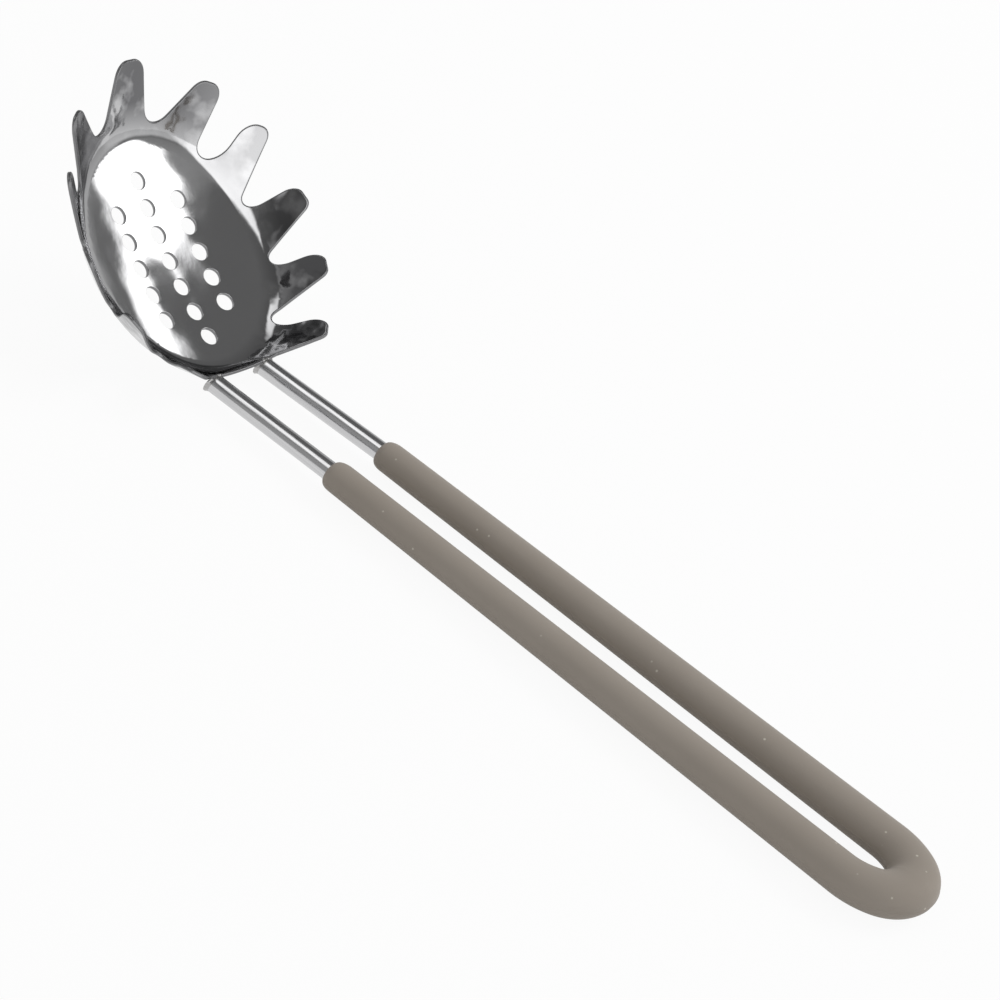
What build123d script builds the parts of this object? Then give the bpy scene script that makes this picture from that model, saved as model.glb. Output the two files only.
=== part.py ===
from build123d import *
import math
import os

# Pasta server: a pressed steel strainer bowl with prongs round its rim, on a
# handle bent from one steel rod, with a moulded silicone grip on the bend.
# Millimetres, +Z up. The server lies on a table, on the grip's bend and on the
# rod's ends. The bowl is towards -X and the grip's bend towards +X. The origin
# is on the table, below the middle of the whole server.

# Handle rod
rod_diameter = 5.9
bend_half_width = 10.95
bend_depth = 14.2
bend_side_radius = 18.3
leg_toe_in = 0.1
neck_toe_in = 0.5
neck_pitch = 1.3
neck_radius = 300.0
neck_length = 55.5

# Grip sleeve
grip_length = 186.2
grip_end_width = 13.0
grip_end_thickness = 10.0
grip_mouth_width = 10.9
grip_mouth_thickness = 8.4
grip_apex_width = 14.6
grip_apex_thickness = 11.2
grip_nose_length = 4.0
grip_lip = 0.9
grip_fit = 0.05

# Strainer bowl, in its own frame: X to the front prong, Z out of the hollow
bowl_front = 41.3
bowl_rear = 38.1
bowl_half_width = 33.4
bowl_depth = 5.4
bowl_floor_radius = 112.0
knuckle_inset = 4.4
knuckle_radius = 8.0
prong_slope = 52.5
rear_prong_slope = 60.0
steep_setback = 9.0
sheet = 1.2
bowl_tilt = 36.8
bowl_setback = 83.1
bowl_lift = 21.3

# Wall that the rod's ends are welded to, at the rear of the bowl
rear_wall_half_width = 13.0
rear_wall_height = 4.3
rear_wall_bulge = 0.9

# Drain holes
hole_diameter = 5.5
hole_pitch = 8.45
hole_column_offset = 11.9
first_hole_front = 25.1
middle_holes = 7

# Prongs from the front one round to the rear, on one side of the bowl. The
# places are shares of the bowl's half length and half width.
tip_length_shares = [1.348, 1.059, 0.674, 0.097, -0.472, -0.968]
tip_width_shares = [0.0, 0.803, 1.133, 1.310, 1.164, 0.826]
tip_aims = [0.0, 34.0, 46.0, 82.0, 109.0, 133.0]
tip_half_widths = [4.6, 3.7, 3.6, 3.7, 3.8, 3.8]
tip_corner_radii = [4.2, 3.7, 3.6, 3.1, 3.0, 2.7]
notch_length_shares = [1.074, 0.701, 0.240, -0.264, -0.748]
notch_width_shares = [0.359, 0.825, 1.037, 1.036, 0.750]
notch_radii = [5.0, 4.4, 3.2, 3.2, 3.1]
rear_corner_radius = 2.0

# Welds between the rod's ends and the rear wall
weld_leg = 1.0
weld_length = 2.6

cut_overrun = 30.0

rod_radius = rod_diameter / 2
knuckle_start = bowl_half_width - knuckle_inset
cut_box_side = 2 * (bowl_front + bowl_rear)
bend_nose_radius = (
    bend_side_radius**2 - (bend_side_radius - bend_half_width) ** 2 - bend_depth**2
) / (2 * (bend_side_radius - bend_depth))
bend_side_angle = math.degrees(
    math.acos(
        (bend_side_radius - bend_half_width) / (bend_side_radius - bend_nose_radius)
    )
)


def half_path():
    """Centre line of one leg, from the apex of the bend to the rod's end."""
    nose = JernArc(
        start=(bend_depth, 0),
        tangent=(0, 1),
        radius=bend_nose_radius,
        arc_size=90 - bend_side_angle,
    )
    side = JernArc(
        start=nose @ 1,
        tangent=nose % 1,
        radius=bend_side_radius,
        arc_size=bend_side_angle + leg_toe_in,
    )
    neck = (side @ 1) + (side % 1) * grip_length
    toe = math.radians(neck_toe_in)
    pitch = math.radians(neck_pitch)
    down_neck = Vector(-math.cos(toe) * math.cos(pitch), -math.sin(toe), -math.sin(pitch))
    leg = FilletPolyline(side @ 1, neck, neck + down_neck * neck_length, radius=neck_radius)
    return nose, side, leg


nose_arc, side_arc, leg_line = half_path()
leg_start = side_arc @ 1
leg_direction = side_arc % 1
mouth_point = leg_start + leg_direction * grip_length
rod_end = leg_line @ 1
rod_end_direction = leg_line % 1


def rod_solid(radius):
    """The bent rod, with its ends still square."""
    half = Wire(nose_arc.edges() + side_arc.edges() + leg_line.edges())
    section = Plane(rod_end, z_dir=-rod_end_direction) * Circle(radius)
    leg = sweep(section, path=half)
    return leg + mirror(leg, about=Plane.XZ)


def oval(point, direction, width, thickness):
    """Flat oval section across a leg, its width level."""
    across = Vector(0, 0, 1).cross(direction)
    plane = Plane(point, x_dir=across, z_dir=direction)
    return plane * Ellipse(width / 2, thickness / 2)


def grip_sleeve():
    """Silicone sleeve, thickest at the bend and thinner towards its mouths."""
    joint_width = (grip_end_width + grip_apex_width) / 2
    joint_thickness = (grip_end_thickness + grip_apex_thickness) / 2
    apex = oval(nose_arc @ 0, nose_arc % 0, grip_apex_width, grip_apex_thickness)
    joint = oval(nose_arc @ 1, nose_arc % 1, joint_width, joint_thickness)
    bend_end = oval(leg_start, leg_direction, grip_end_width, grip_end_thickness)
    shoulder_point = mouth_point - leg_direction * grip_nose_length
    shoulder = oval(shoulder_point, leg_direction, grip_mouth_width, grip_mouth_thickness)
    mouth = oval(
        mouth_point,
        leg_direction,
        rod_diameter + 2 * grip_lip,
        rod_diameter + 2 * grip_lip,
    )
    swell = (rod_diameter + 2 * grip_lip + 3 * grip_mouth_width) / 4
    swell_thickness = (rod_diameter + 2 * grip_lip + 3 * grip_mouth_thickness) / 4
    brow = oval(
        mouth_point - leg_direction * grip_nose_length / 3,
        leg_direction,
        swell,
        swell_thickness,
    )
    half = sweep([apex, joint], path=nose_arc, multisection=True)
    half += sweep([joint, bend_end], path=side_arc, multisection=True)
    half += loft([bend_end, shoulder])
    half += loft([shoulder, brow, mouth], ruled=True)
    sleeve = half + mirror(half, about=Plane.XZ)
    return sleeve - rod_solid(rod_radius + grip_fit)


def sheet_half(half_length, turn, slope_degrees):
    """One half of the unpierced bowl, before its outline is cut."""
    floor_angle = math.asin(knuckle_start / bowl_floor_radius)
    slope = math.radians(slope_degrees)
    floor_centre = bowl_floor_radius - bowl_depth
    knuckle_x = knuckle_start - knuckle_radius * math.sin(floor_angle)
    knuckle_z = floor_centre - (bowl_floor_radius - knuckle_radius) * math.cos(floor_angle)

    def face_points(offset):
        floor = bowl_floor_radius + offset
        bend = knuckle_radius + offset
        middle = (floor_angle + slope) / 2
        bend_end = (knuckle_x + bend * math.sin(slope), knuckle_z - bend * math.cos(slope))
        run = bowl_half_width * 2 / 3
        return {
            "pole": (0, floor_centre - floor),
            "floor_middle": (
                floor * math.sin(floor_angle / 2),
                floor_centre - floor * math.cos(floor_angle / 2),
            ),
            "floor_end": (
                floor * math.sin(floor_angle),
                floor_centre - floor * math.cos(floor_angle),
            ),
            "bend_middle": (
                knuckle_x + bend * math.sin(middle),
                knuckle_z - bend * math.cos(middle),
            ),
            "bend_end": bend_end,
            "tip": (bend_end[0] + run * math.cos(slope), bend_end[1] + run * math.sin(slope)),
        }

    inner = face_points(0)
    outer = face_points(sheet)
    lines = [
        ThreePointArc(inner["pole"], inner["floor_middle"], inner["floor_end"]),
        ThreePointArc(inner["floor_end"], inner["bend_middle"], inner["bend_end"]),
        Line(inner["bend_end"], inner["tip"]),
        Line(inner["tip"], outer["tip"]),
        Line(outer["tip"], outer["bend_end"]),
        ThreePointArc(outer["bend_end"], outer["bend_middle"], outer["floor_end"]),
        ThreePointArc(outer["floor_end"], outer["floor_middle"], outer["pole"]),
        Line(outer["pole"], inner["pole"]),
    ]
    profile = Plane.XZ * make_face(Curve() + lines)
    start = profile.rotate(Axis.Z, turn)
    half = revolve(start, axis=Axis.Z, revolution_arc=180)
    return scale(half, by=(half_length / bowl_half_width, 1, 1))


def one_side(setback, align):
    """A box over everything ahead of this setback or behind it, in the bowl's frame."""
    box_align = (align, Align.CENTER, Align.CENTER)
    return Pos(-setback) * Box(cut_box_side, cut_box_side, cut_box_side, align=box_align)


def bowl_blank():
    """The unpierced bowl. Its rear prongs stand steeper than the others."""
    core_half_width = knuckle_start + knuckle_radius / 4
    core_half_length = core_half_width * bowl_rear / bowl_half_width
    core = extrude(Ellipse(core_half_length, core_half_width), 2 * cut_overrun)
    rear_rim = one_side(steep_setback, Align.MAX) - Pos(0, 0, -cut_overrun) * core
    front = sheet_half(bowl_front, -90, prong_slope)
    rear = sheet_half(bowl_rear, 90, prong_slope) - rear_rim
    return front + rear + (sheet_half(bowl_rear, 90, rear_prong_slope) & rear_rim)


def tangent_to_notch(corner, centre, radius, side):
    """Direction of the prong's flank from its tip corner to the notch circle."""
    reach = centre - corner
    return reach.rotate(Axis.Z, side * math.degrees(math.asin(radius / reach.length)))


def crossing(first, first_way, second, second_way):
    """Point where two lines in the plan meet."""
    gap = second - first
    turn = first_way.X * second_way.Y - first_way.Y * second_way.X
    return first + first_way * ((gap.X * second_way.Y - gap.Y * second_way.X) / turn)


def outline_face():
    """Plan of the bowl with its prongs, seen along its own Z."""

    def spot(length_share, width_share):
        half_length = bowl_front if length_share > 0 else bowl_rear
        return Vector(length_share * half_length, width_share * bowl_half_width)

    right_corners = []
    left_corners = []
    for along, across, aim, half in zip(
        tip_length_shares, tip_width_shares, tip_aims, tip_half_widths
    ):
        side = Vector(0, half).rotate(Axis.Z, aim)
        right_corners.append(spot(along, across) - side)
        left_corners.append(spot(along, across) + side)
    points = [left_corners[0]]
    radii = [tip_corner_radii[0]]
    for index, radius in enumerate(notch_radii):
        centre = spot(notch_length_shares[index], notch_width_shares[index])
        near, far = left_corners[index], right_corners[index + 1]
        root = crossing(
            near,
            tangent_to_notch(near, centre, radius, 1),
            far,
            tangent_to_notch(far, centre, radius, -1),
        )
        points += [root, far, left_corners[index + 1]]
        radii += [radius, tip_corner_radii[index + 1], tip_corner_radii[index + 1]]
    rear = Vector(-bowl_rear, rear_wall_half_width)
    points.append(rear)
    radii.append(rear_corner_radius)
    mirrored = [Vector(point.X, -point.Y) for point in reversed(points)]
    wire = FilletPolyline(*(points + mirrored), radius=radii + radii[::-1], close=True)
    return make_face(wire)


def rear_wall():
    """Upright wall across the rear of the bowl, between its last prongs."""
    outer_rear = bowl_rear + sheet
    outer = ThreePointArc(
        (rear_wall_bulge - outer_rear, -rear_wall_half_width),
        (-outer_rear, 0),
        (rear_wall_bulge - outer_rear, rear_wall_half_width),
    )
    inner = outer.moved(Location((sheet, 0, 0)))
    plan = make_face(
        Curve() + [outer, inner, Line(outer @ 0, inner @ 0), Line(outer @ 1, inner @ 1)]
    )
    return extrude(plan, rear_wall_height)


def holes():
    """Cutters of the drain holes, in three columns."""
    cutters = []
    for row in range(middle_holes):
        columns = [0] if row in (0, middle_holes - 1) else [-1, 0, 1]
        for column in columns:
            place = (first_hole_front - row * hole_pitch, column * hole_column_offset)
            cutters.append(Pos(*place) * Cylinder(hole_diameter / 2, 2 * cut_overrun))
    return cutters


def strainer_bowl():
    """Pressed bowl in its own frame."""
    plan = Pos(0, 0, -cut_overrun) * extrude(outline_face(), 2 * cut_overrun)
    bowl = (bowl_blank() & plan) + rear_wall()
    return bowl - holes()


def bowl_plane():
    """The bowl's frame, set behind the rod's ends and tipped up."""
    tilt = math.radians(bowl_tilt)
    forward = Vector(-math.cos(tilt), 0, math.sin(tilt))
    upward = Vector(math.sin(tilt), 0, math.cos(tilt))
    origin = Vector(-grip_length - bowl_setback, 0, bowl_lift)
    return Plane(origin, x_dir=forward, z_dir=upward)


def past_rear_wall():
    """Everything beyond the middle of the rear wall, where no rod may be."""
    return bowl_plane() * one_side(bowl_rear + sheet / 2, Align.MIN)


def weld(rod, bowl):
    """Fillet of weld round one rod end, against the rear wall."""
    seat = Plane(rod_end, z_dir=rod_end_direction)
    to_wall = bowl_wall_distance()
    cone = Cone(
        rod_radius,
        rod_radius + weld_leg,
        weld_length,
        align=(Align.CENTER, Align.CENTER, Align.MAX),
    )
    bead = seat * Pos(0, 0, -to_wall) * cone
    return (bead - past_rear_wall()) - rod - bowl


def bowl_wall_distance():
    """How far back from the square rod end the rear wall crosses the rod."""
    plane = bowl_plane()
    wall = plane.origin - plane.x_dir * (bowl_rear + sheet)
    return (rod_end - wall).dot(plane.x_dir) / rod_end_direction.dot(plane.x_dir)


def lay_down(pieces):
    """Rests the server on the table, on its grip and its rod ends."""
    for _ in range(3):
        grip = pieces["grip_sleeve"].bounding_box()
        rest = [pieces[name].bounding_box() for name in pieces if name != "grip_sleeve"]
        low = min(box.min.Z for box in rest)
        reach = grip.max.X - rod_end.X
        turn = math.degrees(math.atan2(grip.min.Z - low, reach))
        pieces = {name: piece.rotate(Axis.Y, turn) for name, piece in pieces.items()}
    boxes = [piece.bounding_box() for piece in pieces.values()]
    middle_x = (min(box.min.X for box in boxes) + max(box.max.X for box in boxes)) / 2
    floor = min(box.min.Z for box in boxes)
    return {name: Pos(-middle_x, 0, -floor) * piece for name, piece in pieces.items()}


bowl = bowl_plane() * strainer_bowl()
rod = rod_solid(rod_radius) - past_rear_wall() - bowl
right_weld = weld(rod, bowl)
left_weld = mirror(right_weld, about=Plane.XZ)
pieces = lay_down(
    {
        "strainer_bowl": bowl,
        "handle_rod": rod,
        "grip_sleeve": grip_sleeve(),
        "left_weld": left_weld,
        "right_weld": right_weld,
    }
)

os.makedirs("parts", exist_ok=True)
for name, piece in pieces.items():
    export_step(piece, f"parts/{name}.step")
    print(name, len(piece.solids()), round(piece.volume), piece.bounding_box())
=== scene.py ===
import math

import bmesh
import bpy
from mathutils import Matrix, Vector


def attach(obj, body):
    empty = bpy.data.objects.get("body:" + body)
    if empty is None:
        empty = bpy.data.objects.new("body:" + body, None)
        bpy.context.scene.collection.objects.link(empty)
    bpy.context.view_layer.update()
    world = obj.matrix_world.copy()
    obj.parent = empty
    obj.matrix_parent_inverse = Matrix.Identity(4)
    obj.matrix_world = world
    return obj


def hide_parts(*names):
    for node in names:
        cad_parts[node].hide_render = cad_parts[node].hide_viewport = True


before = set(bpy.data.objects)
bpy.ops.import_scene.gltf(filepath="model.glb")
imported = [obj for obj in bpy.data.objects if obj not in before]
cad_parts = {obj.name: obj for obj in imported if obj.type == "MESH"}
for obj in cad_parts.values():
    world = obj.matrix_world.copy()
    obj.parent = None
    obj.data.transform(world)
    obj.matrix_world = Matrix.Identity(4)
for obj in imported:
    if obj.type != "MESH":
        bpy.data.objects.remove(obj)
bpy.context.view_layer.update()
bpy.ops.object.select_all(action="DESELECT")

# Pieces are drawn in millimetres, with the handle level and the bend round the
# origin. The last move tips them onto the table and makes them metres.
tableRest = {"rock": -0.11373, "shift": (141.8774, 0.0, 5.5718), "metres": 0.001}
modelling = {
    "mirrorGap": 0.002,  # points of the two halves nearer than this become one
    "doubleGap": 0.0005,
    "cutGap": 0.00001,
    "edgeGap": 0.01,  # a point this near the rear's straight edge is on it
    "straightGap": 0.001,  # an edge that strays less than this runs along the grid
    "flatShare": 0.999,  # upward share of a face's normal from which it counts as flat
    "keyDigits": 3,
}


def restMatrix():
    rock = Matrix.Rotation(math.radians(tableRest["rock"]), 4, "Y")
    place = Matrix.Translation(Vector(tableRest["shift"])) @ rock
    return Matrix.Scale(tableRest["metres"], 4) @ place


def finishPiece(piece, slot, material, *nodes):
    piece.data.materials.clear()
    piece.data.materials.append(material)
    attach(piece, "root")
    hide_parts(*nodes)
    bpy.ops.object.select_all(action="DESELECT")
    print(piece.name, "faces", len(piece.data.polygons))


# A new circle or ring of edges, its points put in place one by one
def addRing(name, points):
    bpy.ops.object.select_all(action="DESELECT")
    bpy.ops.mesh.primitive_circle_add(vertices=len(points), radius=1)
    ring = bpy.context.object
    ring.name = name
    ring.data.name = name
    for vertex, point in zip(ring.data.vertices, points):
        vertex.co = point
    return ring


# Extrudes the first ring through all the others
def sweepRings(name, rings):
    piece = addRing(name, rings[0])
    bpy.ops.object.mode_set(mode="EDIT")
    bpy.ops.mesh.select_mode(type="VERT")
    bpy.ops.mesh.select_all(action="SELECT")
    for before, after in zip(rings, rings[1:]):
        bpy.ops.mesh.extrude_region_move()
        mesh = bmesh.from_edit_mesh(piece.data)
        places = {roundedKey(point): goal for point, goal in zip(before, after)}
        for vertex in mesh.verts:
            if vertex.select:
                vertex.co = places[roundedKey(vertex.co)]
        bmesh.update_edit_mesh(piece.data)
    bpy.ops.object.mode_set(mode="OBJECT")
    return piece


def roundedKey(point):
    return tuple(round(value, modelling["keyDigits"]) for value in point)


def applyModifiers(piece):
    bpy.context.view_layer.objects.active = piece
    for modifier in list(piece.modifiers):
        bpy.ops.object.modifier_apply(modifier=modifier.name)


# Joins a half to its mirror image across the middle of the server
def mirrorAcross(piece):
    mirror = piece.modifiers.new("otherSide", "MIRROR")
    mirror.use_axis = (False, True, False)
    mirror.merge_threshold = modelling["mirrorGap"]
    applyModifiers(piece)


# Merges a swept piece's doubles and turns its faces outwards
def faceOutwards(piece):
    bpy.context.view_layer.objects.active = piece
    bpy.ops.object.mode_set(mode="EDIT")
    bpy.ops.mesh.select_all(action="SELECT")
    bpy.ops.mesh.remove_doubles(threshold=modelling["doubleGap"])
    bpy.ops.mesh.normals_make_consistent(inside=False)
    bpy.ops.object.mode_set(mode="OBJECT")


def newMaterial(name):
    material = bpy.data.materials.new(name)
    material.use_nodes = True
    return material, material.node_tree.nodes, material.node_tree.links


def objectNoise(nodes, links, scale, detail=3.0, stretch=(1, 1, 1)):
    coordinates = nodes.new("ShaderNodeTexCoord")
    mapping = nodes.new("ShaderNodeMapping")
    mapping.inputs["Scale"].default_value = stretch
    noise = nodes.new("ShaderNodeTexNoise")
    noise.inputs["Scale"].default_value = scale
    noise.inputs["Detail"].default_value = detail
    links.new(coordinates.outputs["Object"], mapping.inputs["Vector"])
    links.new(mapping.outputs["Vector"], noise.inputs["Vector"])
    return noise.outputs["Fac"]


def mapRange(nodes, links, value, low, high, fromLow=0.0, fromHigh=1.0):
    node = nodes.new("ShaderNodeMapRange")
    node.inputs["From Min"].default_value = fromLow
    node.inputs["From Max"].default_value = fromHigh
    node.inputs["To Min"].default_value = low
    node.inputs["To Max"].default_value = high
    links.new(value, node.inputs["Value"])
    return node.outputs["Result"]


def multiplied(nodes, links, first, second):
    node = nodes.new("ShaderNodeMath")
    node.operation = "MULTIPLY"
    links.new(first, node.inputs[0])
    links.new(second, node.inputs[1])
    return node.outputs[0]


def attributeValue(nodes, name):
    node = nodes.new("ShaderNodeAttribute")
    node.attribute_name = name
    return node.outputs["Fac"]


def mixColours(nodes, links, factor, first, second):
    node = nodes.new("ShaderNodeMix")
    node.data_type = "RGBA"
    for socket, colour in (("A", first), ("B", second)):
        target = next(s for s in node.inputs if s.name == socket and s.type == "RGBA")
        if isinstance(colour, tuple):
            target.default_value = (*colour, 1)
        else:
            links.new(colour, target)
    links.new(factor, node.inputs["Factor"])
    return next(s for s in node.outputs if s.type == "RGBA")


def addBump(nodes, links, height, strength, distance, before=None):
    bump = nodes.new("ShaderNodeBump")
    bump.inputs["Strength"].default_value = strength
    bump.inputs["Distance"].default_value = distance
    links.new(height, bump.inputs["Height"])
    if before is not None:
        links.new(before, bump.inputs["Normal"])
    return bump.outputs["Normal"]


pressedSteel = {
    "bright": (0.66, 0.66, 0.665),
    "dull": (0.58, 0.58, 0.59),
    "clouds": (60, 4),  # scale and detail
    # painted dark reflection: in noise patches, the prongs' colour goes towards this dark grey
    "paintedDarkReflection": (0.13, 0.13, 0.135),
    "mottling": (105, 3),
    "paintedReflectionCut": (0.30, 0.50),  # the share of the noise over which a patch of painted dark reflection sets in
    "mottlingMix": (0.15, 0.95),
    "cut": (0.24, 0.24, 0.245),
    "roughness": (0.05, 0.11),
    "roughnessCut": (0.3, 0.7),
    "cutRoughness": 0.42,
    "floorWaves": (62, 1, 0.6, 0.0006),  # scale, detail, bump strength and distance
    "prongWaves": (170, 1, 0.8, 0.0005),
    "scratches": (420, 2, 0.10, 0.0001),
}


# The bowl carries two attributes: prong, how worked the metal is for the prong waves and how much
# dark reflection is painted into the colour, and cutEdge, on sheared metal
def pressedSteelMaterial():
    look = pressedSteel
    material, nodes, links = newMaterial("pressedSteel")
    shader = nodes["Principled BSDF"]
    shader.inputs["Metallic"].default_value = 1.0
    cutEdge = attributeValue(nodes, "cutEdge")
    workAndPaintedReflection = attributeValue(nodes, "workAndPaintedReflection")
    clouds = objectNoise(nodes, links, *look["clouds"])
    # Painted dark reflection: noise patches, scaled by the prong attribute, darken the prongs'
    # colour
    reflectionPatches = mapRange(nodes, links, objectNoise(nodes, links, *look["mottling"]),
                       *look["mottlingMix"], *look["paintedReflectionCut"])
    paintedReflectionShare = multiplied(nodes, links, reflectionPatches, workAndPaintedReflection)
    face = mixColours(nodes, links, clouds, look["bright"], look["dull"])
    face = mixColours(nodes, links, paintedReflectionShare, face, look["paintedDarkReflection"])
    links.new(mixColours(nodes, links, cutEdge, face, look["cut"]), shader.inputs["Base Color"])
    polish = mapRange(nodes, links, clouds, *look["roughness"], *look["roughnessCut"])
    rough = nodes.new("ShaderNodeMix")
    links.new(cutEdge, rough.inputs["Factor"])
    links.new(polish, rough.inputs["A"])
    rough.inputs["B"].default_value = look["cutRoughness"]
    links.new(rough.outputs["Result"], shader.inputs["Roughness"])
    normal = None
    for layer, onProngs in (("floorWaves", False), ("prongWaves", True), ("scratches", False)):
        scale, detail, strength, distance = look[layer]
        height = objectNoise(nodes, links, scale, detail)
        if onProngs:
            height = multiplied(nodes, links, height, workAndPaintedReflection)
        normal = addBump(nodes, links, height, strength, distance, normal)
    links.new(normal, shader.inputs["Normal"])
    return material


drawnSteel = {
    "bright": (0.66, 0.66, 0.665),
    "dull": (0.50, 0.50, 0.51),
    "streaks": (1, 6, (25, 2600, 2600)),  # scale, detail and stretch along the handle
    "roughness": (0.12, 0.26),
    "roughnessCut": (0.3, 0.7),
    "streakBump": (0.12, 0.0001),
}


def drawnSteelMaterial():
    look = drawnSteel
    material, nodes, links = newMaterial("drawnSteel")
    shader = nodes["Principled BSDF"]
    shader.inputs["Metallic"].default_value = 1.0
    streaks = objectNoise(nodes, links, *look["streaks"])
    links.new(mixColours(nodes, links, streaks, look["bright"], look["dull"]),
              shader.inputs["Base Color"])
    links.new(mapRange(nodes, links, streaks, *look["roughness"], *look["roughnessCut"]),
              shader.inputs["Roughness"])
    links.new(addBump(nodes, links, streaks, *look["streakBump"]), shader.inputs["Normal"])
    return material


silicone = {
    "body": (0.284, 0.247, 0.208),
    "worn": (0.324, 0.286, 0.246),
    "clouds": (40, 5),
    "speck": (0.62, 0.58, 0.50),
    "speckScale": 165,
    "speckMix": (0.8, 0.0),  # at a speck's middle and outside it
    "speckReach": (0.03, 0.07),
    "grain": (1800, 2),
    "grainBump": (0.25, 0.0001),
    "roughness": (0.56, 0.70),
    "specular": 0.35,
    "sheen": 0.12,
    "sheenRoughness": 0.5,
}


def siliconeMaterial():
    look = silicone
    material, nodes, links = newMaterial("gripSilicone")
    shader = nodes["Principled BSDF"]
    shader.inputs["Specular IOR Level"].default_value = look["specular"]
    shader.inputs["Sheen Weight"].default_value = look["sheen"]
    shader.inputs["Sheen Roughness"].default_value = look["sheenRoughness"]
    clouds = objectNoise(nodes, links, *look["clouds"])
    grain = objectNoise(nodes, links, *look["grain"])
    body = mixColours(nodes, links, clouds, look["body"], look["worn"])
    coordinates = nodes.new("ShaderNodeTexCoord")
    dust = nodes.new("ShaderNodeTexVoronoi")
    dust.inputs["Scale"].default_value = look["speckScale"]
    links.new(coordinates.outputs["Object"], dust.inputs["Vector"])
    spots = mapRange(nodes, links, dust.outputs["Distance"],
                     *look["speckMix"], *look["speckReach"])
    links.new(mixColours(nodes, links, spots, body, look["speck"]),
              shader.inputs["Base Color"])
    links.new(mapRange(nodes, links, grain, *look["roughness"]), shader.inputs["Roughness"])
    links.new(addBump(nodes, links, grain, *look["grainBump"]), shader.inputs["Normal"])
    return material


weldMetal = {
    "bright": (0.52, 0.52, 0.52),
    "heated": (0.34, 0.33, 0.32),
    "ripples": (900, 4),
    "roughness": (0.22, 0.42),
    "rippleBump": (0.3, 0.0002),
}


def weldMaterial():
    look = weldMetal
    material, nodes, links = newMaterial("weldMetal")
    shader = nodes["Principled BSDF"]
    shader.inputs["Metallic"].default_value = 1.0
    ripples = objectNoise(nodes, links, *look["ripples"])
    links.new(mixColours(nodes, links, ripples, look["bright"], look["heated"]),
              shader.inputs["Base Color"])
    links.new(mapRange(nodes, links, ripples, *look["roughness"]), shader.inputs["Roughness"])
    links.new(addBump(nodes, links, ripples, *look["rippleBump"]), shader.inputs["Normal"])
    return material


# The handle's line: its bend, a leg inside the grip and the bare neck up to the bowl
handle = {
    "rodDiameter": 5.9,
    "rodSides": 48,
    "bendHalfWidth": 10.95,
    "bendDepth": 14.2,
    "bendSideRadius": 18.3,
    "legToeIn": 0.1,
    "neckToeIn": 0.5,
    "neckPitch": 1.3,
    "neckReach": 3.6,
    "neckLength": 55.5,
    "gripLength": 186.2,
    "bendSteps": 14,
    "neckSteps": 6,
    "legShares": (0.25, 0.5, 0.75),
    "neckShares": (0.3, 0.6, 0.9),
    "endOverrun": 6.0,
    "smoothBelow": 40,
}


# Places and directions round half the bend, from its apex to where a leg starts
def bendStations(steps):
    depth, side, half = handle["bendDepth"], handle["bendSideRadius"], handle["bendHalfWidth"]
    nose = (side**2 - (side - half) ** 2 - depth**2) / (2 * (side - depth))
    sideAngle = math.acos((side - half) / (side - nose))
    noseAngle = math.pi / 2 - sideAngle
    noseCentre = Vector((depth - nose, 0, 0))
    turn = Vector((math.cos(noseAngle), math.sin(noseAngle), 0))
    sideCentre = noseCentre + turn * (nose - side)
    end = math.pi / 2 + math.radians(handle["legToeIn"])
    stations = []
    for centre, radius, first, last in (
        (noseCentre, nose, 0, noseAngle),
        (sideCentre, side, noseAngle, end),
    ):
        for step in range(steps + 1):
            angle = first + (last - first) * step / steps
            way = Vector((math.cos(angle), math.sin(angle), 0))
            along = Vector((-way.y, way.x, 0))
            if step or not stations:
                stations.append((centre + way * radius, along))
    return stations


def neckDirection():
    toe, pitch = math.radians(handle["neckToeIn"]), math.radians(handle["neckPitch"])
    return Vector((-math.cos(toe) * math.cos(pitch), -math.sin(toe), -math.sin(pitch)))


# An oval across the way a rod or sleeve runs, each point as proud of it as ridge says
def ovalRing(point, along, halfWidth, halfThickness, angles, ridge=None):
    across = Vector((0, 0, 1)).cross(along).normalized()
    upward = along.cross(across).normalized()
    ring = []
    for index, angle in enumerate(angles):
        proud = ridge[index] if ridge else 0
        wide = (halfWidth + proud) * math.cos(angle)
        tall = halfThickness * math.sin(angle)
        ring.append(point + across * wide + upward * tall)
    return ring


def evenAngles(count):
    return [2 * math.pi * index / count for index in range(count)]


# Rings of the rod from the bend's apex along one leg, ending beyond the bowl's rear wall
def rodRings(radius, angles):
    stations = bendStations(handle["bendSteps"])
    legStart, legWay = stations[-1]
    neckWay = neckDirection()
    mouth = legStart + legWay * handle["gripLength"]
    reach = handle["neckReach"]
    for share in handle["legShares"]:
        stations.append((legStart + legWay * handle["gripLength"] * share, legWay))
    for step in range(handle["neckSteps"] + 1):  # the shallow bend where the leg leaves the grip
        share = step / handle["neckSteps"]
        first = mouth - legWay * reach * (1 - share)
        second = mouth + neckWay * reach * share
        stations.append((first.lerp(second, share), legWay.lerp(neckWay, share).normalized()))
    for share in handle["neckShares"]:
        stations.append((mouth + neckWay * handle["neckLength"] * share, neckWay))
    far = handle["neckLength"] + handle["endOverrun"]
    stations.append((mouth + neckWay * far, neckWay))
    return [ovalRing(point, way, radius, radius, angles) for point, way in stations]


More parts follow.
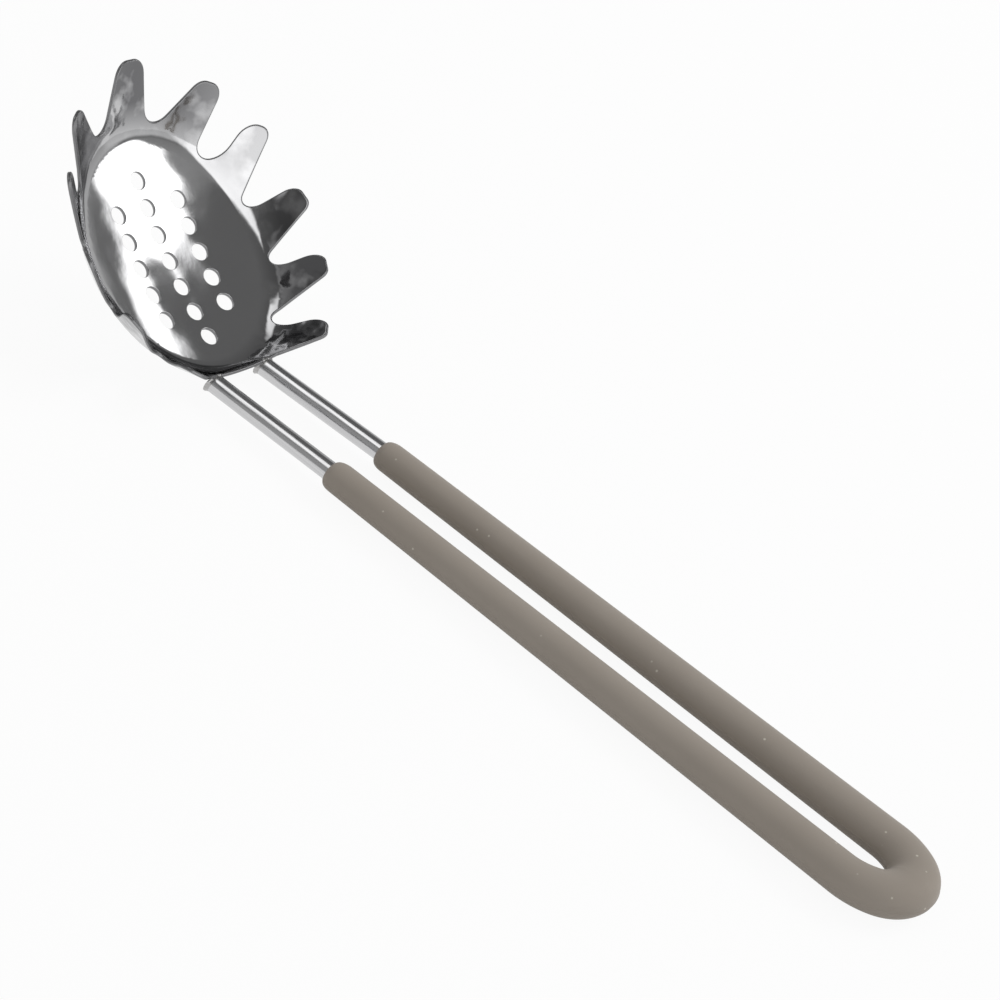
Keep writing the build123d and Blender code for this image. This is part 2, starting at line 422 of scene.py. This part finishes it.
# The bowl in its own frame: along runs from its middle to the front prong
bowlForm = {
    "front": 41.3,
    "rear": 38.1,
    "halfWidth": 33.4,
    "depth": 5.4,
    "floorRadius": 112.0,
    "kneeStart": 29.0,
    "kneeRadius": 8.0,
    "prongSlope": 52.5,
    "rearProngSlope": 60.0,
    "steepSetback": 9.0,
    "sheet": 1.2,
    "tilt": 36.8,
    "setback": 83.1,
    "lift": 21.3,
    "rearHalfWidth": 13.0,
    "rearHeight": 4.3,
    "rearBulge": 0.6,
    "rearSlope": 70.0,
    "rearBlend": 1.2,
    "rearCorner": 2.0,
    "rimStrip": 0.55,
    "rimRound": 0.34,
    "holeRound": 0.14,
    "holeRoom": 0.1,
    "roundSegments": 3,
    "grid": 1.0,
    "gridAlong": (-40, 58),
    "gridAcross": (-45, 46),
    "rearGrid": 0.3,
    "rearGridReach": 3.5,
    "rearGridStart": 0.5,
    "arcStep": 0.55,
    "runStep": 0.9,
    "slopeStep": 0.01,
    "normalStep": 0.02,
    "skin": 0.02,
}
prongs = {
    "along": [1.348, 1.059, 0.674, 0.097, -0.472, -0.968],
    "across": [0.0, 0.803, 1.133, 1.310, 1.164, 0.826],
    "aims": [0.0, 34.0, 46.0, 82.0, 109.0, 133.0],
    "halfWidths": [4.6, 3.7, 3.6, 3.7, 3.8, 3.8],
    "corners": [4.2, 3.7, 3.6, 3.1, 3.0, 2.7],
    "pullIns": [0.5, 0.5, 0.5, 0.8, 0.5, 0.5],
    # the side prongs round this bearing from the front get less painted dark reflection and
    # weaker waves
    "brightBearing": 60,
    "brightSpread": 28,
    "brightening": 0.6,
}
notches = {
    "along": [1.074, 0.701, 0.240, -0.264, -0.748],
    "across": [0.359, 0.825, 1.037, 1.036, 0.750],
    "radii": [5.0, 4.4, 3.2, 3.2, 3.1],
}
drainHoles = {
    "diameter": 5.5,
    "pitch": 8.45,
    "columnOffset": 11.9,
    "firstFront": 25.1,
    "middle": 7,
    "sides": 40,
    "dimple": 0.07,
    "dimpleReach": 3.2,
    "dimpleEnd": 10.0,
}


# Shares of the bowl's half lengths and half width become a place in the plan
def planSpot(alongShare, acrossShare):
    halfLength = bowlForm["front"] if alongShare > 0 else bowlForm["rear"]
    return Vector((alongShare * halfLength, acrossShare * bowlForm["halfWidth"]))


def turned(vector, degrees):
    return Matrix.Rotation(math.radians(degrees), 2) @ vector


# From a prong's corner, the way of the line that touches the notch's root circle
def flankWay(corner, centre, radius, side):
    reach = centre - corner
    return turned(reach, side * math.degrees(math.asin(radius / reach.length)))


# Where two lines of the plan meet
def crossing(first, firstWay, second, secondWay):
    gap = second - first
    turn = firstWay.x * secondWay.y - firstWay.y * secondWay.x
    return first + firstWay * ((gap.x * secondWay.y - gap.y * secondWay.x) / turn)


# Corners of the blank's outline and the radius of each
def outlineCorners():
    rights, lefts = [], []
    for along, across, aim, half, pullIn in zip(
        prongs["along"], prongs["across"], prongs["aims"], prongs["halfWidths"], prongs["pullIns"]
    ):
        tip = planSpot(along, across) - turned(Vector((pullIn, 0)), aim)
        side = turned(Vector((0, half)), aim)
        rights.append(tip - side)
        lefts.append(tip + side)
    points, radii = [lefts[0]], [prongs["corners"][0]]
    for index, radius in enumerate(notches["radii"]):
        centre = planSpot(notches["along"][index], notches["across"][index])
        near, far = lefts[index], rights[index + 1]
        root = crossing(near, flankWay(near, centre, radius, 1),
                        far, flankWay(far, centre, radius, -1))
        points += [root, far, lefts[index + 1]]
        radii += [radius] + [prongs["corners"][index + 1]] * 2
    points.append(Vector((-bowlForm["rear"], bowlForm["rearHalfWidth"])))
    radii.append(bowlForm["rearCorner"])
    mirrored = [Vector((point.x, -point.y)) for point in reversed(points)]
    return points + mirrored, radii + radii[::-1]


# Rounds the corners of the outline and divides the runs between them
def outlinePoints():
    corners, radii = outlineCorners()
    arcs = []
    for index, corner in enumerate(corners):
        before = (corners[index - 1] - corner).normalized()
        after = (corners[(index + 1) % len(corners)] - corner).normalized()
        half = math.acos(max(-1, min(1, before.dot(after)))) / 2
        radius = radii[index]
        start = corner + before * radius / math.tan(half)
        end = corner + after * radius / math.tan(half)
        centre = corner + (before + after).normalized() * radius / math.sin(half)
        swing = (start - centre).angle_signed(end - centre)
        steps = max(3, round(abs(swing) * radius / bowlForm["arcStep"]))
        arc = [centre + turned(start - centre, -math.degrees(swing) * step / steps)
               for step in range(steps + 1)]
        arcs.append(arc)
    points = []
    for index, arc in enumerate(arcs):
        points += arc
        goal = arcs[(index + 1) % len(arcs)][0]
        steps = max(1, math.ceil((goal - arc[-1]).length / bowlForm["runStep"]))
        points += [arc[-1].lerp(goal, step / steps) for step in range(1, steps)]
    return [bulgeRear(point) for point in points]


def rearEdge(across):
    share = min(1, abs(across) / bowlForm["rearHalfWidth"])
    return -bowlForm["rear"] - bowlForm["rearBulge"] * (1 - share**2)


def bulgeRear(point):
    onRear = point.x < -bowlForm["rear"] + modelling["edgeGap"]
    if onRear and abs(point.y) < bowlForm["rearHalfWidth"]:
        return Vector((rearEdge(point.y), point.y))
    return point


def holeCentres():
    centres = []
    for row in range(drainHoles["middle"]):
        columns = [0] if row in (0, drainHoles["middle"] - 1) else [-1, 0, 1]
        along = drainHoles["firstFront"] - row * drainHoles["pitch"]
        centres += [Vector((along, column * drainHoles["columnOffset"])) for column in columns]
    return centres


punchedAt = holeCentres()


# Distance from the bowl's middle, with its length shrunk to its width
def planReach(along, across):
    halfLength = bowlForm["front"] if along > 0 else bowlForm["rear"]
    return math.hypot(along * bowlForm["halfWidth"] / halfLength, across)


# How far the punch has drawn the sheet down round the drain holes
def dimpleDepth(along, across):
    depth = 0
    for centre in punchedAt:
        apart = (along - centre.x) ** 2 + (across - centre.y) ** 2
        if apart < drainHoles["dimpleEnd"] ** 2:
            depth += drainHoles["dimple"] * math.exp(-apart / drainHoles["dimpleReach"] ** 2)
    return depth


# Height of the pressed sheet's inner face over a spot in the plan
def pressHeight(along, across):
    form = bowlForm
    reach = planReach(along, across)
    floorAngle = math.asin(form["kneeStart"] / form["floorRadius"])
    steep = along < -form["steepSetback"]
    slope = math.radians(form["rearProngSlope"] if steep else form["prongSlope"])
    floorCentre = form["floorRadius"] - form["depth"]
    kneeReach = form["kneeStart"] - form["kneeRadius"] * math.sin(floorAngle)
    kneeCentre = floorCentre - (form["floorRadius"] - form["kneeRadius"]) * math.cos(floorAngle)
    kneeEnd = kneeReach + form["kneeRadius"] * math.sin(slope)
    if reach < form["kneeStart"]:
        height = floorCentre - math.sqrt(form["floorRadius"] ** 2 - reach**2)
        height -= dimpleDepth(along, across)
    elif reach < kneeEnd:
        height = kneeCentre - math.sqrt(form["kneeRadius"] ** 2 - (reach - kneeReach) ** 2)
    else:
        height = kneeCentre - form["kneeRadius"] * math.cos(slope)
        height += (reach - kneeEnd) * math.tan(slope)
    rise = math.tan(math.radians(form["rearSlope"]))
    wall = form["rearHeight"] - (along - rearEdge(across)) * rise
    gap = height - wall
    return (height + wall + math.sqrt(gap**2 + form["rearBlend"] ** 2)) / 2


# The press: moves a spot of the flat blank into the bowl, in the bowl's frame
def pressSpot(along, across, level):
    step = bowlForm["slopeStep"]
    height = pressHeight(along, across)
    riseAlong = pressHeight(along + step, across) - pressHeight(along - step, across)
    riseAcross = pressHeight(along, across + step) - pressHeight(along, across - step)
    normal = Vector((-riseAlong / (2 * step), -riseAcross / (2 * step), 1)).normalized()
    return Vector((along, across, height)) + normal * level


def bowlMatrix():
    tilt = math.radians(bowlForm["tilt"])
    forward = Vector((-math.cos(tilt), 0, math.sin(tilt)))
    upward = Vector((math.sin(tilt), 0, math.cos(tilt)))
    sideways = upward.cross(forward)
    matrix = Matrix((forward, sideways, upward)).transposed().to_4x4()
    origin = (-handle["gripLength"] - bowlForm["setback"], 0, bowlForm["lift"])
    return Matrix.Translation(origin) @ matrix


# Places of the cuts that divide the sheet, closer together at its rear
def gridCuts():
    form = bowlForm
    alongCuts = [step * form["grid"] for step in range(*form["gridAlong"])]
    rearSteps = int(form["rearGridReach"] / form["rearGrid"])
    rearStart = -form["rear"] - form["rearGridStart"]
    alongCuts += [rearStart + step * form["rearGrid"] for step in range(rearSteps)]
    acrossCuts = [step * form["grid"] for step in range(*form["gridAcross"])]
    return alongCuts, acrossCuts


def selectEdges(piece, wanted):
    bpy.ops.mesh.select_mode(type="EDGE")
    bpy.ops.mesh.select_all(action="DESELECT")
    mesh = bmesh.from_edit_mesh(piece.data)
    for edge in mesh.edges:
        edge.select = wanted(edge)
    mesh.select_flush_mode()
    bmesh.update_edit_mesh(piece.data)


def selectFaces(piece, wanted):
    bpy.ops.mesh.select_mode(type="FACE")
    bpy.ops.mesh.select_all(action="DESELECT")
    mesh = bmesh.from_edit_mesh(piece.data)
    for face in mesh.faces:
        face.select_set(wanted(face))
    bmesh.update_edit_mesh(piece.data)


def nearHole(point):
    reach = drainHoles["diameter"] / 2 + bowlForm["holeRoom"]
    return any((point.xy - centre).length < reach for centre in punchedAt)


# Flat sheet with the outline and the holes, still without thickness
def flatBlank():
    blank = addRing("strainerBowl", [(*point, 0) for point in outlinePoints()])
    rings = [blank]
    for centre in punchedAt:
        sides = [centre + turned(Vector((drainHoles["diameter"] / 2, 0)), math.degrees(angle))
                 for angle in evenAngles(drainHoles["sides"])]
        rings.append(addRing("drainHole", [(*point, 0) for point in sides]))
    for ring in rings:
        ring.select_set(True)
    bpy.context.view_layer.objects.active = blank
    bpy.ops.object.join()
    bpy.ops.object.mode_set(mode="EDIT")
    bpy.ops.mesh.select_all(action="SELECT")
    bpy.ops.mesh.fill()
    bpy.ops.mesh.select_all(action="SELECT")
    bpy.ops.mesh.normals_make_consistent(inside=False)
    mesh = bmesh.from_edit_mesh(blank.data)
    if sum(face.normal.z * face.calc_area() for face in mesh.faces) < 0:
        bpy.ops.mesh.flip_normals()
    bpy.ops.mesh.select_mode(type="FACE")
    bpy.ops.mesh.select_all(action="SELECT")
    bpy.ops.mesh.inset(thickness=bowlForm["rimStrip"], use_boundary=True)
    mesh = bmesh.from_edit_mesh(blank.data)
    for face in mesh.faces:  # the faces inside the rim strips are marked, to be divided
        face.material_index = 1 if face.select else 0
    bmesh.update_edit_mesh(blank.data)
    return blank


def divideBlank(blank):
    alongCuts, acrossCuts = gridCuts()
    cuts = [((cut, 0, 0), (1, 0, 0)) for cut in alongCuts]
    cuts += [((0, cut, 0), (0, 1, 0)) for cut in acrossCuts]
    for place, way in cuts:
        selectFaces(blank, lambda face: face.material_index == 1)
        bpy.ops.mesh.bisect(plane_co=place, plane_no=way, threshold=modelling["cutGap"])
    selectEdges(blank, slantedInside)
    bpy.ops.mesh.dissolve_edges(use_verts=True)


# Edges left over from the first triangles, lying across the grid
def slantedInside(edge):
    if len(edge.link_faces) < 2 or any(face.material_index != 1 for face in edge.link_faces):
        return False
    run = edge.verts[1].co - edge.verts[0].co
    return min(abs(run.x), abs(run.y)) > modelling["straightGap"]


def thickenBlank(blank):
    form = bowlForm
    bpy.ops.mesh.select_mode(type="FACE")
    bpy.ops.mesh.select_all(action="SELECT")
    bpy.ops.mesh.extrude_region_move(TRANSFORM_OT_translate={"value": (0, 0, form["sheet"])})
    bpy.ops.mesh.select_all(action="SELECT")
    bpy.ops.mesh.normals_make_consistent(inside=False)
    for width, byHole in ((form["rimRound"], False), (form["holeRound"], True)):
        selectEdges(blank, lambda edge: sharpEdge(edge) and byHole == nearHole(edge.verts[0].co))
        bpy.ops.mesh.bevel(offset=width, segments=form["roundSegments"], profile=0.5,
                           affect="EDGES")


def sharpEdge(edge):
    return len(edge.link_faces) == 2 and edge.calc_face_angle(0) > 1  # radians


# How far the press has worked the sheet, which sets the prong waves, and how much dark reflection
# is painted on: most on the front and rear prongs, less on the side prongs, none in the dish
def workAndPaintedReflectionShare(along, across):
    beyond = (planReach(along, across) - bowlForm["kneeStart"]) / bowlForm["kneeRadius"]
    bearing = math.degrees(math.atan2(abs(across), along))
    off = (bearing - prongs["brightBearing"]) / prongs["brightSpread"]
    return max(0, min(1, beyond)) * (1 - prongs["brightening"] * math.exp(-off * off))


# Presses the thick blank and gives every point the normal of the pressed sheet
def pressBlank(blank):
    mesh = blank.data
    matrix = restMatrix() @ bowlMatrix()
    turn = matrix.to_3x3().normalized()
    flat = [vertex.normal.copy() for vertex in mesh.vertices]
    for face in mesh.polygons:
        if abs(face.normal.z) > modelling["flatShare"]:
            for index in face.vertices:
                flat[index] = face.normal.copy()
    places, normals = [], []
    workAndPaintedReflection = mesh.attributes.new("workAndPaintedReflection", "FLOAT", "POINT")
    cutEdge = mesh.attributes.new("cutEdge", "FLOAT", "POINT")
    step, skin = bowlForm["normalStep"], bowlForm["skin"]
    for vertex, normal in zip(mesh.vertices, flat):
        along, across, level = vertex.co
        # the share of painted dark reflection, and of prong waves, at this point
        workAndPaintedReflection.data[vertex.index].value = workAndPaintedReflectionShare(along, across)
        sheared = skin < level < bowlForm["sheet"] - skin
        cutEdge.data[vertex.index].value = 1 if sheared else 0
        level -= bowlForm["sheet"]
        place = pressSpot(along, across, level)
        byAlong = pressSpot(along + step, across, level) - place
        byAcross = pressSpot(along, across + step, level) - place
        byLevel = pressSpot(along, across, level + step) - place
        pressed = (normal.x * byAcross.cross(byLevel) + normal.y * byLevel.cross(byAlong)
                   + normal.z * byAlong.cross(byAcross))
        places.append(matrix @ place)
        normals.append((turn @ pressed).normalized())
    for vertex, place in zip(mesh.vertices, places):
        vertex.co = place
    for face in mesh.polygons:
        face.use_smooth = True
        face.material_index = 0
    mesh.normals_split_custom_set_from_vertices(normals)


def strainerBowl(material):
    blank = flatBlank()
    divideBlank(blank)
    thickenBlank(blank)
    bpy.ops.object.mode_set(mode="OBJECT")
    pressBlank(blank)
    finishPiece(blank, "bowl_steel", material, "strainer_bowl")


# The middle of the bowl's upright rear, where the rod ends and its welds are cut off
def endPlane():
    tilt = math.radians(bowlForm["tilt"] - (90 - bowlForm["rearSlope"]))
    depth = bowlForm["rear"] + bowlForm["sheet"] / 2
    place = bowlMatrix() @ Vector((-depth, 0, bowlForm["rearHeight"]))
    return place, Vector((-math.cos(tilt), 0, math.sin(tilt)))


def handleRod(material):
    rings = rodRings(handle["rodDiameter"] / 2, evenAngles(handle["rodSides"]))
    rod = sweepRings("handleRod", rings)
    place, normal = endPlane()
    bpy.ops.object.mode_set(mode="EDIT")
    bpy.ops.mesh.select_all(action="SELECT")
    bpy.ops.mesh.bisect(plane_co=place, plane_no=normal, use_fill=True, clear_outer=True)
    bpy.ops.object.mode_set(mode="OBJECT")
    mirrorAcross(rod)
    faceOutwards(rod)
    rod.data.transform(restMatrix())
    bpy.ops.object.shade_smooth_by_angle(angle=math.radians(handle["smoothBelow"]))
    finishPiece(rod, "rod_steel", material, "handle_rod")


# The sleeve's width and thickness at four places along the leg
grip = {
    "apex": (14.6, 11.2),
    "joint": (13.8, 10.6),
    "bendEnd": (13.0, 10.0),
    "mouth": (10.9, 8.4),
    "lip": 0.65,
    "noseLength": 3.2,
    "noseSteps": 7,
    "legSteps": 24,
    "sides": 96,
    "ridgeProud": 0.10,
    "ridgeAngle": 2.4,
    "ridgeFade": 3.0,  # the ridge dies out over this much of the sleeve's last width
    "fit": 0.03,
    "mouthRound": 0.25,
    "smoothBelow": 50,
}


# Angles round the oval, with four close together on each side for the mould's parting line
def gripAngles():
    angles, ridge = [], []
    count = grip["sides"]
    for index in range(count):
        angle = 2 * math.pi * index / count
        if index % (count // 2) == 0:
            for turn, proud in ((-1, 0), (-0.5, 1), (0.5, 1), (1, 0)):
                angles.append(angle + math.radians(turn * grip["ridgeAngle"]))
                ridge.append(proud * grip["ridgeProud"])
        else:
            angles.append(angle)
            ridge.append(0)
    return angles, ridge


def gripSizeAt(share, first, second):
    return [first[axis] + (second[axis] - first[axis]) * share for axis in (0, 1)]


def gripRings():
    angles, ridge = gripAngles()
    proud = grip["ridgeProud"]
    stations = bendStations(handle["bendSteps"])
    steps = handle["bendSteps"]
    sizes = [gripSizeAt(index / steps, grip["apex"], grip["joint"]) for index in range(steps + 1)]
    sizes += [gripSizeAt(index / steps, grip["joint"], grip["bendEnd"])
              for index in range(1, steps + 1)]
    legStart, legWay = stations[-1]
    straight = handle["gripLength"] - grip["noseLength"]
    for index in range(1, grip["legSteps"] + 1):
        share = index / grip["legSteps"]
        stations.append((legStart + legWay * straight * share, legWay))
        sizes.append(gripSizeAt(share, grip["bendEnd"], grip["mouth"]))
    start = [handle["rodDiameter"] + 2 * grip["lip"]] * 2
    for index in range(1, grip["noseSteps"] + 1):
        angle = math.pi / 2 * index / grip["noseSteps"]
        place = straight + grip["noseLength"] * math.sin(angle)
        stations.append((legStart + legWay * place, legWay))
        sizes.append(gripSizeAt(1 - math.cos(angle), grip["mouth"], start))
    rings = []
    for (point, way), (width, thickness) in zip(stations, sizes):
        fade = min(1, (width - start[0]) / grip["ridgeFade"])
        heights = [value * fade for value in ridge]
        rings.append(ovalRing(point, way, width / 2 - proud, thickness / 2, angles, heights))
    radius = handle["rodDiameter"] / 2 + grip["fit"]
    mouth, mouthWay = stations[-1]
    bevel = grip["mouthRound"]
    rings.append(ovalRing(mouth, mouthWay, radius + bevel, radius + bevel, angles))
    rings.append(ovalRing(mouth - mouthWay * bevel, mouthWay, radius, radius, angles))
    for point, way in reversed(stations[: 2 * steps + 1]):
        rings.append(ovalRing(point, way, radius, radius, angles))
    return rings


def gripSleeve(material):
    sleeve = sweepRings("gripSleeve", gripRings())
    mirrorAcross(sleeve)
    faceOutwards(sleeve)
    sleeve.data.transform(restMatrix())
    bpy.ops.object.shade_smooth_by_angle(angle=math.radians(grip["smoothBelow"]))
    finishPiece(sleeve, "grip_silicone", material, "grip_sleeve")


weldBead = {
    "leg": 0.45,
    "length": 1.3,
    "sunk": 0.4,  # how far its inner faces lie inside the rod
    "behind": 0.3,  # how far it reaches into the bowl's wall
    "tail": 0.1,
    "ripple": 0.12,
    "ripples": (17, 5),
    "sides": 96,
    "steps": 6,
    "smoothBelow": 60,
}


# Rings along the fillet, each cut off slanting as the bowl's rear wall is
def weldRings():
    stations = bendStations(handle["bendSteps"])
    legStart, legWay = stations[-1]
    mouth = legStart + legWay * handle["gripLength"]
    way = neckDirection()
    place, normal = endPlane()
    across = Vector((0, 0, 1)).cross(way).normalized()
    upward = way.cross(across).normalized()
    radius = handle["rodDiameter"] / 2

    fine, coarse = weldBead["ripples"]

    def bead(back, proud):
        ring = []
        for angle in evenAngles(weldBead["sides"]):
            spoke = across * math.cos(angle) + upward * math.sin(angle)
            ripple = 1 + weldBead["ripple"] * math.sin(fine * angle)
            ripple += weldBead["ripple"] * math.sin(coarse * angle + 1)
            foot = mouth + spoke * (radius + proud * ripple)
            reach = (place - foot).dot(normal) / way.dot(normal)
            ring.append(foot + way * (reach - back))
        return ring

    inner = bead(-weldBead["behind"], -weldBead["sunk"])
    rings = [inner, bead(-weldBead["behind"], weldBead["leg"])]
    for step in range(weldBead["steps"] + 1):
        share = step / weldBead["steps"]
        rings.append(bead(weldBead["length"] * share, weldBead["leg"] * (1 - share) ** 2))
    rings.append(bead(weldBead["length"] + weldBead["tail"], -weldBead["sunk"]))
    rings.append(inner)
    return rings


def weld(name, node, material, side):
    bead = sweepRings(name, weldRings())
    if side < 0:
        bead.data.transform(Matrix.Scale(-1, 4, Vector((0, 1, 0))))
    faceOutwards(bead)
    bead.data.transform(restMatrix())
    bpy.ops.object.shade_smooth_by_angle(angle=math.radians(weldBead["smoothBelow"]))
    finishPiece(bead, "weld_steel", material, node)


studio = {
    "floorSize": 8.0,
    "floorDrop": 0.0002,
    "floorGrey": (0.82, 0.82, 0.82),
    "floorGlow": 0.93,
    "fill": 0.62,
}


# 1 for rays that see the background: from the camera, in a gloss or through a clear thing
def seenBackground(nodes, links):
    rays = nodes.new("ShaderNodeLightPath")
    seen = rays.outputs["Is Camera Ray"]
    for kind in ("Is Glossy Ray", "Is Transmission Ray"):
        either = nodes.new("ShaderNodeMath")
        either.operation = "MAXIMUM"
        links.new(seen, either.inputs[0])
        links.new(rays.outputs[kind], either.inputs[1])
        seen = either.outputs[0]
    return seen


def studioFloor():
    bpy.ops.object.select_all(action="DESELECT")
    bpy.ops.mesh.primitive_plane_add(size=studio["floorSize"],
                                     location=(0, 0, -studio["floorDrop"]))
    floor = bpy.context.object
    floor.name = "studioFloor"
    material, nodes, links = newMaterial("studioFloor")
    nodes.remove(nodes["Principled BSDF"])
    output = nodes["Material Output"]
    paper = nodes.new("ShaderNodeBsdfDiffuse")
    paper.inputs["Color"].default_value = (*studio["floorGrey"], 1)
    glow = nodes.new("ShaderNodeEmission")
    mix = nodes.new("ShaderNodeMixShader")
    seen = seenBackground(nodes, links)
    links.new(mapRange(nodes, links, seen, 0, studio["floorGlow"]), mix.inputs["Fac"])
    links.new(paper.outputs[0], mix.inputs[1])
    links.new(glow.outputs[0], mix.inputs[2])
    links.new(mix.outputs[0], output.inputs["Surface"])
    floor.data.materials.append(material)


# What polished steel mirrors: a dark room with bright panels, as the photographer sets it up.
# Azimuth runs from +Y over +X, in degrees; edge is how soft each panel's border is.
studioShell = {
    "radius": 4.0,
    "segments": 180,
    "rings": 90,
    "room": 0.15,
    "panels": [
        {"azimuth": (-180, -115), "height": (-20, 38), "edge": (10, 8), "glow": 0.40},
        {"azimuth": (-120, 40), "height": (-20, 23), "edge": (10, 8), "glow": 0.55},
        {"azimuth": (30, 96), "height": (-20, 18), "edge": (12, 10), "glow": 0.80},
        {"azimuth": (45, 90), "height": (22, 50), "edge": (10, 6), "glow": 0.32},
        {"azimuth": (21, 51), "height": (26, 48), "edge": (5, 4), "glow": 2.8},
        {"azimuth": (-4, 24), "height": (30, 38), "edge": (5, 4), "glow": 2.6},
        {"azimuth": (92, 158), "height": (0, 54), "edge": (10, 8), "glow": 1.6},
        {"azimuth": (-134, -86), "height": (43, 76), "edge": (14, 8), "glow": 1.6},
    ],
}


def panelShare(value, low, high, edge):
    rise = (value - low) / edge + 0.5
    fall = (high - value) / edge + 0.5
    share = max(0, min(1, rise, fall))
    return share * share * (3 - 2 * share)


def shellGlow(place):
    azimuth = math.degrees(math.atan2(place.x, place.y))
    height = math.degrees(math.asin(max(-1, min(1, place.z / place.length))))
    glow = studioShell["room"]
    for panel in studioShell["panels"]:
        share = panelShare(azimuth, *panel["azimuth"], panel["edge"][0])
        share *= panelShare(height, *panel["height"], panel["edge"][1])
        glow = glow + (panel["glow"] - glow) * share
    return glow


def reflectionShell():
    bpy.ops.object.select_all(action="DESELECT")
    bpy.ops.mesh.primitive_uv_sphere_add(segments=studioShell["segments"],
                                         ring_count=studioShell["rings"],
                                         radius=studioShell["radius"])
    shell = bpy.context.object
    shell.name = "reflectionShell"
    glows = shell.data.attributes.new("glow", "FLOAT", "POINT")
    for vertex in shell.data.vertices:
        glows.data[vertex.index].value = shellGlow(vertex.co)
    material, nodes, links = newMaterial("reflectionShell")
    nodes.remove(nodes["Principled BSDF"])
    glow = nodes.new("ShaderNodeEmission")
    links.new(attributeValue(nodes, "glow"), glow.inputs["Strength"])
    links.new(glow.outputs[0], nodes["Material Output"].inputs["Surface"])
    shell.data.materials.append(material)
    shell.visible_camera = False
    shell.visible_diffuse = False
    shell.visible_transmission = False
    shell.visible_shadow = False


def studioWorld():
    world = bpy.data.worlds.new("studioWorld")
    bpy.context.scene.world = world
    world.use_nodes = True
    nodes, links = world.node_tree.nodes, world.node_tree.links
    background = nodes["Background"]
    background.inputs["Color"].default_value = (1, 1, 1, 1)
    seen = seenBackground(nodes, links)
    links.new(mapRange(nodes, links, seen, studio["fill"], 1.0), background.inputs["Strength"])


backSoftbox = {
    "place": (0.83, 1.58, 1.38),
    "target": (-0.05, 0, 0.02),
    "size": (1.25, 0.85),
    "power": 22,
}


def addSoftbox():
    light = bpy.data.lights.new("backSoftbox", "AREA")
    light.shape = "RECTANGLE"
    light.size, light.size_y = backSoftbox["size"]
    light.energy = backSoftbox["power"]
    lamp = bpy.data.objects.new("backSoftbox", light)
    bpy.context.collection.objects.link(lamp)
    lamp.location = backSoftbox["place"]
    aim = Vector(backSoftbox["target"]) - Vector(backSoftbox["place"])
    lamp.rotation_euler = aim.to_track_quat("-Z", "Y").to_euler()
    lamp.visible_glossy = False  # the reflection shell shows its panel instead


studioCamera = {
    "place": (0.32092, -0.51940, 0.43076),
    "turn": (0.958022, -0.270027, 0.732465),
    "lens": 96.2,
    "sensor": 36,
    "nearest": 0.01,
}


def addCamera():
    data = bpy.data.cameras.new("studioCamera")
    data.lens = studioCamera["lens"]
    data.sensor_width = studioCamera["sensor"]
    data.clip_start = studioCamera["nearest"]
    camera = bpy.data.objects.new("studioCamera", data)
    bpy.context.collection.objects.link(camera)
    camera.location = studioCamera["place"]
    camera.rotation_euler = studioCamera["turn"]
    bpy.context.scene.camera = camera


addCamera()
strainerBowl(pressedSteelMaterial())
handleRod(drawnSteelMaterial())
gripSleeve(siliconeMaterial())
weldSteel = weldMaterial()
weld("leftWeld", "left_weld", weldSteel, -1)
weld("rightWeld", "right_weld", weldSteel, 1)
studioFloor()
reflectionShell()
studioWorld()
addSoftbox()
print("studio ready")

bpy.context.scene.view_settings.view_transform = "Standard"
